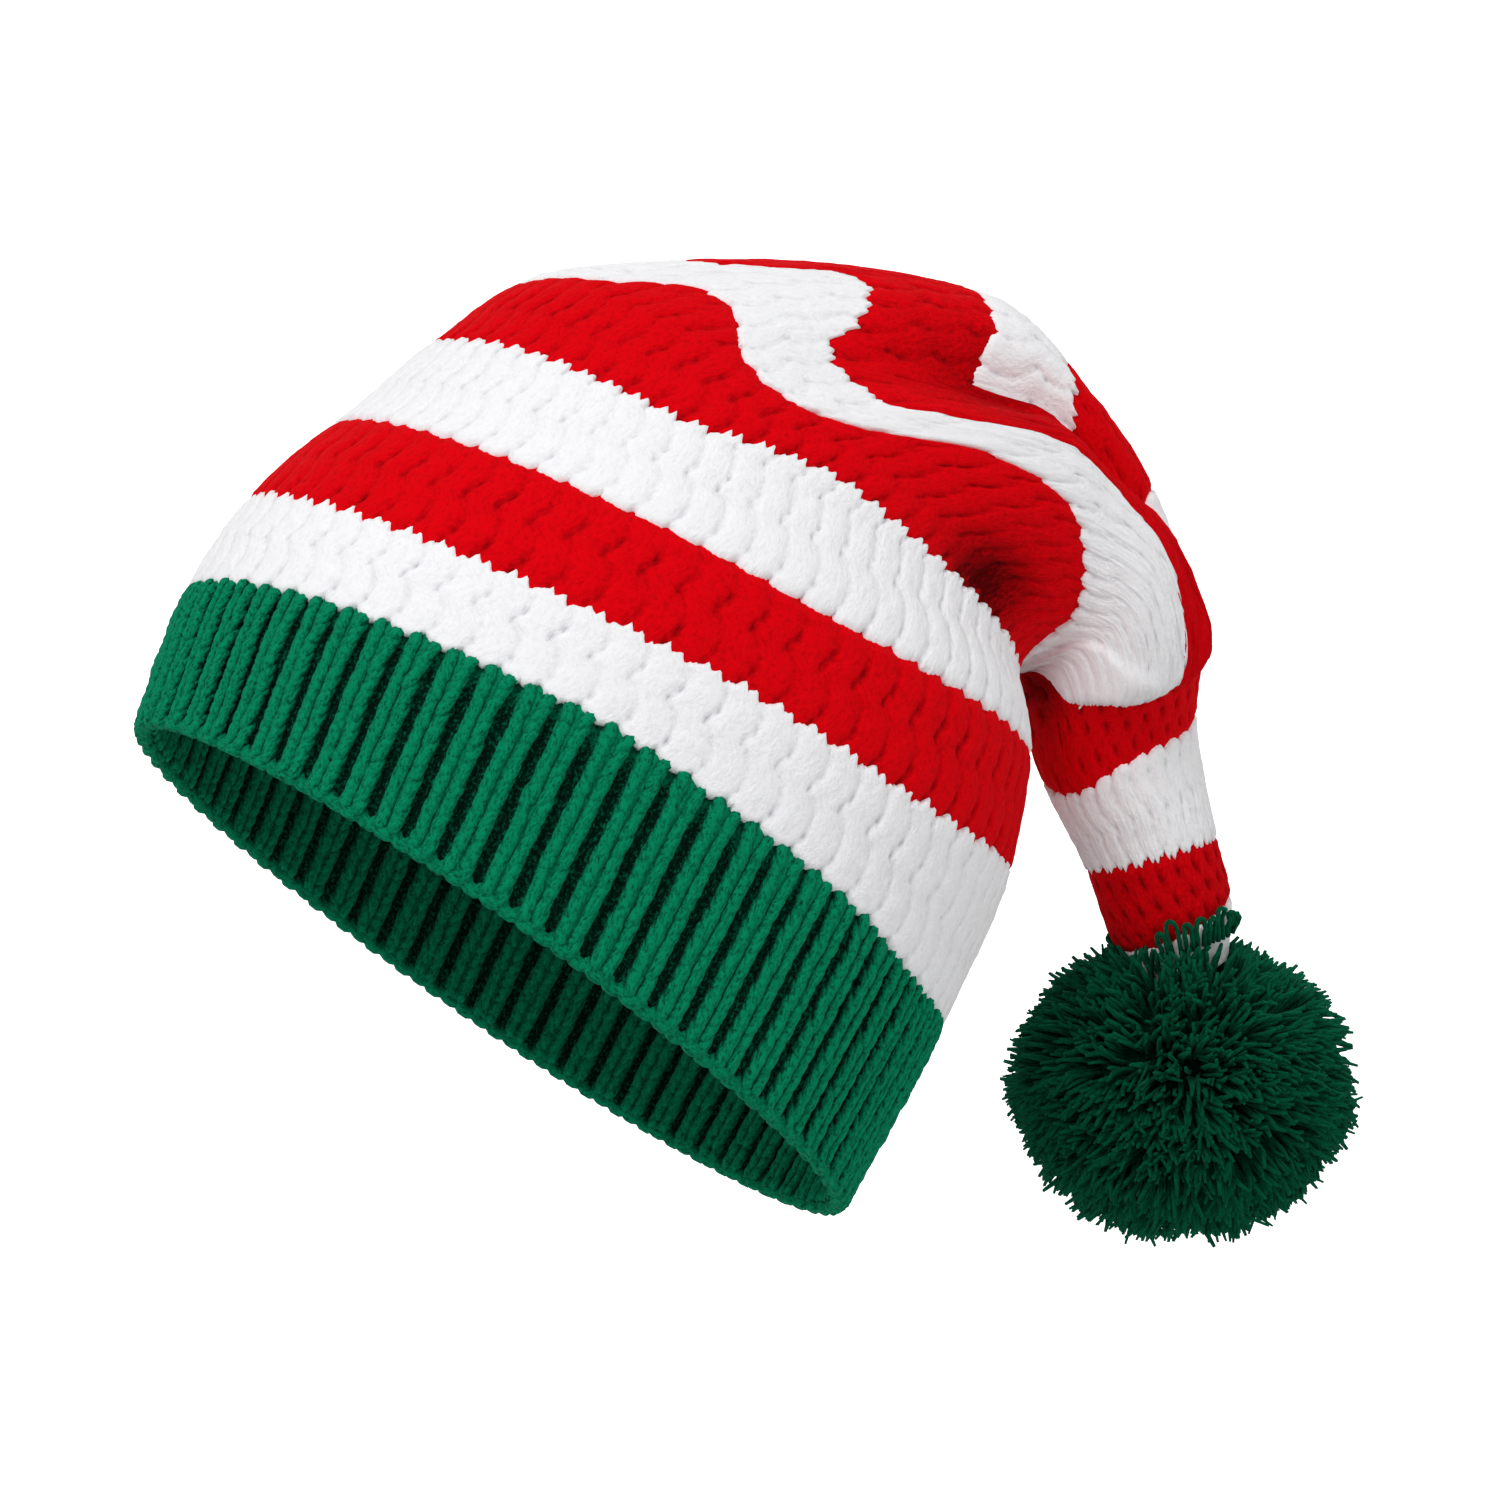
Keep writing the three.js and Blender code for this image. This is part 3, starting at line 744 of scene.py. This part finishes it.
def build_legs(first_across, facing, sides, rings):
    """Slanted stitch legs on one face of the brim: tapered tubes laid along the ribs."""
    rib = np.arange(RIBS)[:, None, None, None] + first_across
    course = np.arange(RIB_COURSES)[None, :, None, None]
    side = np.array((-1.0, 1.0))[None, None, :, None]
    t = np.linspace(0, 1, rings)[None, None, None, :]
    jitter = np.random.default_rng(11).normal(0, 1, (RIBS, RIB_COURSES, 2, 3))[..., None]
    top = smoothstep((course - RIB_COURSES + 4) / 3)
    apart = LEG_APART + (LEG_SPREAD + LEG_SPREAD_TOP * top) * t
    across = rib + side * apart + UNEVEN_ACROSS * jitter[:, :, :, 0]
    up = course - LEG_START + LEG_COURSES * t + UNEVEN_UP * jitter[:, :, :, 1]
    across, up = np.broadcast_arrays(across, up / RIB_COURSES)
    angle = across * 360 / RIBS
    at = between_borders(0, angle, np.clip(up, -0.02, 1.04))
    wave = RIB_WAVE * np.cos(2 * math.pi * across)
    level = RIB_MIDDLE + wave if facing > 0 else RIB_MIDDLE - SHEET + wave
    arch = LEG_LIFT * np.sin(math.pi * (0.1 + 0.8 * t))
    lift = arch - LEG_SINK + UNEVEN_LIFT * jitter[:, :, :, 2]
    out = sleeve_out(angle, at)
    middle = sleeve_point(angle, at) + out * (level + facing * lift)[..., None]
    radius = LEG_RADIUS * np.sin(math.pi * (0.08 + 0.84 * t)) ** 0.7 * np.ones_like(across)
    ends = np.ones(rings)
    ends[[0, -1]] = LEG_END
    count = RIBS * RIB_COURSES * 2
    return tubes(
        middle.reshape(count, rings, 3),
        facing * out.reshape(count, rings, 3),
        (radius * ends).reshape(count, rings),
        sides,
        LEG_FLAT,
        leg_shade,
        (1.0, 1.2),
    )


def rim_shade(turn, along):
    return np.full(np.broadcast(turn, along).shape, RIM_SHADE)


def build_rim_edge():
    """The cast-on edge: a row of short thick loops under every rib and groove."""
    loop = np.arange(2 * RIBS)[:, None] / 2
    t = np.linspace(0, 1, RIM_RINGS)[None, :]
    across = loop + (t - 0.5) * 0.8
    angle = across * 360 / RIBS
    level = RIB_MIDDLE - SHEET / 2 + 0.6 + 0.7 * RIB_WAVE * np.cos(2 * math.pi * across)
    out = sleeve_out(angle, np.zeros_like(angle))
    along = unit(sleeve_point(angle, 0.2) - sleeve_point(angle, 0.0))
    drop = 1.9 * np.sin(math.pi * t) - 1.2
    middle = sleeve_point(angle, 0.0) + out * level[..., None] - along * drop[..., None]
    radius = RIM_RADIUS * np.sin(math.pi * (0.14 + 0.72 * t)) ** 0.5 * np.ones_like(across)
    return tubes(middle, out, radius, RIM_SIDES, 1.0, rim_shade, (1.0, 1.0))


# Pompom: strands of cut yarn standing out of a dense heart. Sizes are in millimetres or
# shares of POMPOM_HALF, spreads are the usual error of a random lean.
POMPOM_MIDDLE = np.array((198.0, 0.0, -35.4))
POMPOM_HALF = np.array((46.0, 46.0, 40.3))
STRANDS = 7600
STRAND_RINGS = 5
STRAND_SIDES = 3
STRAND_RADIUS = 0.72
STRAND_TAPER = np.array((0.9, 1.0, 1.1, 1.1, 0.65))
STRAND_ROOT = 0.6
WAY_SPREAD = 0.04
LEAN_SPREAD = 0.07
REACH_SPREAD = 0.025
STRAND_BEND = 1.2
STRAND_BELLY = 2.5
STRAND_CRIMP = 0.4
TUFTS = 420
TUFT_PULL = 0.25
TUFT_LEAN = 0.085
TUFT_REACH = 0.1
# The yarn parts round one place that faces the camera, and is combed away from it
PARTING = np.array((-0.33, -0.79, 0.52))
PARTING_WIDTH = 0.012
PARTING_DEPTH = 0.14
PARTING_MESS = 0.12
COMBED = 0.3
COMBED_FROM = 0.15
TAIL_CLEAR_RADIUS = 16
TAIL_CLEAR_DEPTH = 22
HEART_SIZE = 0.72
HEART_BUMP = 0.05
HEART_KNOTS = 260
# Painted shade that darkens the whole heart
HEART_SHADE = 0.95


def strand_shade(turn, along):
    """Painted shade on a strand: dark at the root and light at the cut end."""
    return 1.05 * (1 - along) ** 0.8 + 0.12 * np.cos(turn) - 0.05


def build_strands():
    """Bent strands spread evenly over the ball, leaning together in tufts."""
    draw = np.random.default_rng(21)
    index = np.arange(STRANDS) + 0.5
    height = 1 - 2 * index / STRANDS
    turn = index * math.pi * (3 - math.sqrt(5))
    flat = np.sqrt(1 - height**2)
    way = np.stack((flat * np.cos(turn), flat * np.sin(turn), height), axis=-1)
    way = unit(way + draw.normal(0, WAY_SPREAD, way.shape))
    tuft = unit(draw.normal(0, 1, (TUFTS, 3)))
    nearest = np.argmax(way @ tuft.T, axis=1)
    parting = unit(PARTING)
    facing = way @ parting
    parted = np.exp(-(((1 - facing) / PARTING_WIDTH) ** 2))
    combed = unit(way * facing[:, None] - parting) * np.sqrt(np.clip(1 - facing**2, 0, 1))[:, None]
    combed = combed * smoothstep((1 - facing) / COMBED_FROM)[:, None]
    tuft_lean = draw.normal(0, TUFT_LEAN, (TUFTS, 3))[nearest]
    lean = way + TUFT_PULL * (tuft[nearest] - way) + tuft_lean
    lean = lean + draw.normal(0, LEAN_SPREAD, way.shape)
    mess = PARTING_MESS * parted[:, None] * draw.normal(0, 1, way.shape)
    lean = unit(lean + COMBED * combed + mess)
    reach = 1 + draw.normal(0, REACH_SPREAD, STRANDS)
    reach = reach + TUFT_REACH * (draw.random(TUFTS)[nearest] - 0.5)
    reach -= PARTING_DEPTH * parted
    root = POMPOM_MIDDLE + way * POMPOM_HALF * STRAND_ROOT
    tip = POMPOM_MIDDLE + lean * POMPOM_HALF * reach[:, None]
    bend = draw.normal(0, 1, way.shape)
    bend -= way * (bend * way).sum(axis=1, keepdims=True)
    t = np.linspace(0, 1, STRAND_RINGS)[None, :, None]
    middle = root[:, None] * (1 - t) + tip[:, None] * t
    middle = middle + bend[:, None] * STRAND_BEND * np.sin(math.pi * t * 0.9)
    middle = middle + way[:, None] * STRAND_BELLY * np.sin(math.pi * t)
    middle = middle + draw.normal(0, STRAND_CRIMP, middle.shape) * t
    radius = STRAND_RADIUS * (0.75 + 0.5 * draw.random((STRANDS, 1))) * STRAND_TAPER
    out = np.roll(way, 1, axis=1)[:, None] + 0.01 + np.zeros_like(middle)
    keep = clear_of_tail(tip)
    middle, out, radius = middle[keep], out[keep], radius[keep]
    return tubes(middle, out, radius, STRAND_SIDES, 1.0, strand_shade, (1.0, 3.0))


def clear_of_tail(tip):
    """False for strands that would end inside the sleeve where it enters the pompom."""
    low = sleeve_point(np.arange(0, 360, 30.0), 13.0).mean(axis=0)
    high = sleeve_point(np.arange(0, 360, 30.0), 12.0).mean(axis=0)
    axis = unit(high - low)
    offset = tip - low
    along = offset @ axis
    aside = np.linalg.norm(offset - along[:, None] * axis, axis=-1)
    return ~((along > -TAIL_CLEAR_DEPTH) & (aside < TAIL_CLEAR_RADIUS))


# Tie loops round the tip where the pompom is sewn on: angle, top and half width in degrees
TIE_LOOPS = (
    (64, 13.18, 4), (74, 13.08, 5), (84, 13.02, 4), (94, 12.9, 6), (104, 12.98, 4.5),
    (115, 12.93, 5), (127, 12.95, 4), (139, 12.84, 5.5), (150, 12.98, 4), (255, 13.08, 5),
    (268, 13.0, 5), (282, 13.06, 4.5), (296, 13.1, 5),
)
TIE_FOOT = 13.45
TIE_RINGS = 12
TIE_SIDES = 6
TIE_RADIUS = 0.7
TIE_SLANT = 1.2
TIE_WAVE = 0.35


# Painted shade on the tie loops, darker on the side that faces the sleeve
def tie_shade(turn, along):
    return 0.35 - 0.3 * np.sin(turn) + 0 * along


def build_tie_loops():
    t = np.linspace(0, 1, TIE_RINGS)[None, :]
    loops = np.array(TIE_LOOPS)
    arch = np.sin(math.pi * t)
    angle = loops[:, :1] - loops[:, 2:] * np.cos(math.pi * t) * (0.5 + 0.7 * arch)
    angle = angle + np.random.default_rng(6).normal(0, TIE_SLANT, (len(loops), 1)) * t
    at = TIE_FOOT - (TIE_FOOT - loops[:, 1:2]) * arch ** 0.7
    out = sleeve_out(angle, at)
    wave = np.random.default_rng(8).normal(0, TIE_WAVE, angle.shape)
    lift = 1.3 + 1.6 * arch + wave
    middle = sleeve_point(angle, at) + out * lift[..., None]
    radius = np.full(angle.shape, TIE_RADIUS)
    return tubes(middle, out, radius, TIE_SIDES, 1.0, tie_shade, (1.0, 4.0))


def build_pompom_heart():
    """The dense middle, painted dark with shade, that shows between the strands."""
    bpy.ops.object.select_all(action="DESELECT")
    bpy.ops.mesh.primitive_ico_sphere_add(subdivisions=5, radius=1)
    heart = bpy.context.object
    mesh = heart.data
    mesh.uv_layers[0].name = "knit"
    co = np.zeros(len(mesh.vertices) * 3)
    mesh.vertices.foreach_get("co", co)
    way = unit(co.reshape(-1, 3))
    knots = unit(np.random.default_rng(5).normal(0, 1, (HEART_KNOTS, 3)))
    bumps = np.max(way @ knots.T, axis=1)
    size = HEART_SIZE + HEART_BUMP * smoothstep((bumps - 0.96) / 0.04)
    points = POMPOM_MIDDLE + way * POMPOM_HALF * size[:, None]
    mesh.vertices.foreach_set("co", (points * MM).astype(np.float32).ravel())
    heart.name = "pompom_heart"
    mesh.name = "pompom_heart"
    attribute = mesh.attributes.new("shade", "FLOAT", "POINT")
    attribute.data.foreach_set("value", np.full(len(points), HEART_SHADE, np.float32))
    bpy.ops.object.shade_smooth()
    return heart


# Finishes: two noises, one of fibres in space and one of streaks along the stitches, are
# mixed into one height that raises the surface, darkens the colour where it is low and
# lightens it where it is high, part random tone of the fibres and part painted shade
ROUGHNESS = 0.92
SPECULAR = 0.05
SHEEN_ROUGHNESS = 0.5
FIBRE_SCALE = 950
NOISE_DETAIL = 4
FIBRE_ROUGHNESS = 0.7
STREAK_ROUGHNESS = 0.6
STREAK_DISTORTION = 0.4
STREAK_SHARE = 1.2
LOW_HEIGHT = 0.8
HIGH_HEIGHT = 1.4
LIGHTER_SHARE = -0.8
BUMP_STRENGTH = 0.5
BUMP_DISTANCE = 0.0007


def add_noise(nodes, scale, roughness):
    noise = nodes.new("ShaderNodeTexNoise")
    noise.inputs["Scale"].default_value = scale
    noise.inputs["Detail"].default_value = NOISE_DETAIL
    noise.inputs["Roughness"].default_value = roughness
    return noise


def yarn_finish(name, lit, painted_hollow_shade, sheen, sheen_tint, streaks, contrast):
    """Wool: painted shade from the mesh and the noise mixes the lit colour towards a shaded copy,
    with streaks of fibres and a soft sheen.
    """
    material = bpy.data.materials.new(name)
    material.use_nodes = True
    nodes = material.node_tree.nodes
    links = material.node_tree.links
    shader = nodes["Principled BSDF"]
    shader.inputs["Roughness"].default_value = ROUGHNESS
    shader.inputs["Specular IOR Level"].default_value = SPECULAR
    shader.inputs["Sheen Weight"].default_value = sheen
    shader.inputs["Sheen Roughness"].default_value = SHEEN_ROUGHNESS
    shader.inputs["Sheen Tint"].default_value = (*sheen_tint, 1)
    shade = nodes.new("ShaderNodeAttribute")
    shade.attribute_name = "shade"
    place = nodes.new("ShaderNodeTexCoord")
    fibre = add_noise(nodes, FIBRE_SCALE, FIBRE_ROUGHNESS)
    links.new(place.outputs["Object"], fibre.inputs["Vector"])
    uv = nodes.new("ShaderNodeUVMap")
    uv.uv_map = "knit"
    stretch = nodes.new("ShaderNodeVectorMath")
    stretch.operation = "MULTIPLY"
    stretch.inputs[1].default_value = (*streaks, 1)
    links.new(uv.outputs["UV"], stretch.inputs[0])
    streak = add_noise(nodes, 1, STREAK_ROUGHNESS)
    streak.inputs["Distortion"].default_value = STREAK_DISTORTION
    links.new(stretch.outputs["Vector"], streak.inputs["Vector"])
    height = nodes.new("ShaderNodeMath")
    height.operation = "MULTIPLY_ADD"
    links.new(streak.outputs["Fac"], height.inputs[0])
    height.inputs[1].default_value = STREAK_SHARE
    links.new(fibre.outputs["Fac"], height.inputs[2])
    depth = nodes.new("ShaderNodeMapRange")
    depth.inputs["From Min"].default_value = LOW_HEIGHT
    depth.inputs["From Max"].default_value = HIGH_HEIGHT
    depth.inputs["To Min"].default_value = contrast
    depth.inputs["To Max"].default_value = LIGHTER_SHARE * contrast
    links.new(height.outputs[0], depth.inputs["Value"])
    amount = nodes.new("ShaderNodeMath")
    amount.operation = "ADD"
    amount.use_clamp = True
    links.new(depth.outputs["Result"], amount.inputs[0])
    links.new(shade.outputs["Fac"], amount.inputs[1])
    mix = nodes.new("ShaderNodeMix")
    mix.data_type = "RGBA"
    mix.inputs["A"].default_value = (*lit, 1)
    mix.inputs["B"].default_value = (*painted_hollow_shade, 1)
    links.new(amount.outputs[0], mix.inputs["Factor"])
    links.new(mix.outputs["Result"], shader.inputs["Base Color"])
    bumps = nodes.new("ShaderNodeBump")
    bumps.inputs["Strength"].default_value = BUMP_STRENGTH
    bumps.inputs["Distance"].default_value = BUMP_DISTANCE
    links.new(height.outputs[0], bumps.inputs["Height"])
    links.new(bumps.outputs["Normal"], shader.inputs["Normal"])
    return material


# Each yarn: its lit colour, and a darker copy of it that stands for painted shade
green_yarn = yarn_finish(
    "green yarn",
    lit=(0.001, 0.25, 0.115),
    painted_hollow_shade=(0.0, 0.013, 0.007),
    sheen=0.1,
    sheen_tint=(0.1, 1.0, 0.6),
    streaks=(16.0, 5.0),
    contrast=0.75,
)
white_yarn = yarn_finish(
    "white yarn",
    lit=(0.97, 0.97, 0.985),
    painted_hollow_shade=(0.58, 0.57, 0.62),
    sheen=0.1,
    sheen_tint=(1.0, 1.0, 1.0),
    streaks=(9.0, 6.0),
    contrast=0.18,
)
red_yarn = yarn_finish(
    "red yarn",
    lit=(0.76, 0.0, 0.004),
    painted_hollow_shade=(0.1, 0.0, 0.001),
    sheen=0.05,
    sheen_tint=(1.0, 0.04, 0.04),
    streaks=(9.0, 6.0),
    contrast=0.28,
)
pompom_yarn = yarn_finish(
    "pompom yarn",
    lit=(0.0, 0.1, 0.042),
    painted_hollow_shade=(0.0, 0.007, 0.004),
    sheen=0.14,
    sheen_tint=(0.05, 1.0, 0.55),
    streaks=(6.0, 3.0),
    contrast=0.45,
)


def dress(obj, material, nodes=()):
    """Gives a piece its yarn, hangs it under the root body, and hides the solids of the part that
    it stands for.
    """
    obj.data.materials.clear()
    obj.data.materials.append(material)
    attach(obj, "root")
    if nodes:
        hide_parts(*nodes)


outside_legs = build_legs(0.0, 1, *OUTSIDE_LEG)
brim = join_parts("brim_knit", [build_brim_sheet(), outside_legs, build_rim_edge()])
dress(brim, green_yarn, ["brim"])
brim_inside = join_parts("brim_inside_stitches", [build_legs(0.5, -1, *INSIDE_LEG)])
dress(brim_inside, green_yarn)
for stripe_index, (stripe_name, stripe_wales) in enumerate(STRIPES, start=1):
    knit = build_stripe(stripe_index, stripe_name, stripe_wales)
    if stripe_name.startswith("white"):
        dress(knit, white_yarn, [stripe_name])
    else:
        dress(knit, red_yarn, [stripe_name])
dress(build_pompom_heart(), pompom_yarn)
pompom = join_parts("pompom_strands", [build_strands()])
dress(pompom, pompom_yarn, ["pompom"])
ties = join_parts("pompom_tie_loops", [build_tie_loops()])
dress(ties, pompom_yarn)

# Stage: a round white cove that is far larger than the hat, so no edge of it shows
FLOOR_Z = -0.62
FLOOR_MIDDLE = 0.5
FLOOR_RADIUS = 1.6
COVE_BEND = 0.7
COVE_BEND_STEPS = 8
COVE_RADIUS = 2.3
COVE_TOP = 1.9
COVE_COLUMNS = 64


def build_cove():
    profile = [(FLOOR_MIDDLE, FLOOR_Z), (FLOOR_RADIUS, FLOOR_Z)]
    for step in range(1, COVE_BEND_STEPS + 1):
        turn = step / COVE_BEND_STEPS * math.pi / 2
        bend_out, bend_up = COVE_BEND * math.sin(turn), COVE_BEND * (1 - math.cos(turn))
        profile.append((FLOOR_RADIUS + bend_out, FLOOR_Z + bend_up))
    profile.append((COVE_RADIUS, COVE_TOP))
    columns = COVE_COLUMNS
    turns = np.arange(columns) * 2 * math.pi / columns
    loops = np.array([[(r * math.cos(t), r * math.sin(t), z) for t in turns] for r, z in profile])
    quads, _, _ = ring_faces(len(loops), columns, False)
    points = np.concatenate((loops.reshape(-1, 3), ((0.0, 0.0, FLOOR_Z),)))
    start = np.arange(columns)
    fan = np.stack((start, (start + 1) % columns, np.full(columns, len(points) - 1)), axis=-1)
    cove = build_mesh("cove", points / MM, quads[:, ::-1], triangles=fan)
    material = bpy.data.materials.new("white cove")
    material.use_nodes = True
    shader = material.node_tree.nodes["Principled BSDF"]
    shader.inputs["Base Color"].default_value = (0.9, 0.9, 0.9, 1)
    shader.inputs["Roughness"].default_value = 0.9
    shader.inputs["Emission Color"].default_value = (1, 1, 1, 1)
    shader.inputs["Emission Strength"].default_value = 1.0
    cove.data.materials.append(material)
    cove.visible_diffuse = False
    cove.visible_glossy = False
    cove.visible_shadow = False


build_cove()

CAMERA_AZIMUTH = math.radians(-23)
LENS = 105.0
SENSOR = 36.0
FRAME_WIDTH = 0.381
AIM_RIGHT = 0.065
AIM_UP = 0.0558


def add_camera():
    right = Vector((math.cos(CAMERA_AZIMUTH), math.sin(CAMERA_AZIMUTH), 0))
    back = Vector((math.sin(CAMERA_AZIMUTH), -math.cos(CAMERA_AZIMUTH), 0))
    aim = right * AIM_RIGHT + Vector((0, 0, AIM_UP))
    data = bpy.data.cameras.new("camera")
    data.lens = LENS
    data.sensor_width = SENSOR
    camera = bpy.data.objects.new("camera", data)
    bpy.context.scene.collection.objects.link(camera)
    camera.location = aim + back * (FRAME_WIDTH * LENS / SENSOR)
    camera.rotation_mode = "QUATERNION"
    camera.rotation_quaternion = (-back).to_track_quat("-Z", "Y")
    bpy.context.scene.camera = camera


# Softboxes: name, place, size across and power, all turned to the middle of the hat
SOFTBOXES = (
    ("key", (-0.9, -0.9, 1.1), 0.7, 11),
    ("fill", (0.9, -1.1, 0.5), 1.0, 2),
    ("back", (0.3, 1.1, 0.9), 0.9, 3),
)
HAT_MIDDLE = Vector((0.06, 0, 0.04))
WORLD_LIGHT = 0.6


def add_softbox(name, place, size, power):
    data = bpy.data.lights.new(name, "AREA")
    data.shape = "DISK"
    data.size = size
    data.energy = power
    light = bpy.data.objects.new(name, data)
    light.location = place
    light.rotation_mode = "QUATERNION"
    light.rotation_quaternion = (HAT_MIDDLE - Vector(place)).to_track_quat("-Z", "Y")
    bpy.context.scene.collection.objects.link(light)


def add_world():
    world = bpy.data.worlds.new("studio")
    world.use_nodes = True
    background = world.node_tree.nodes["Background"]
    background.inputs["Color"].default_value = (1, 1, 1, 1)
    background.inputs["Strength"].default_value = WORLD_LIGHT
    bpy.context.scene.world = world


add_camera()
for softbox in SOFTBOXES:
    add_softbox(*softbox)
add_world()
bpy.context.scene.view_settings.view_transform = "Standard"
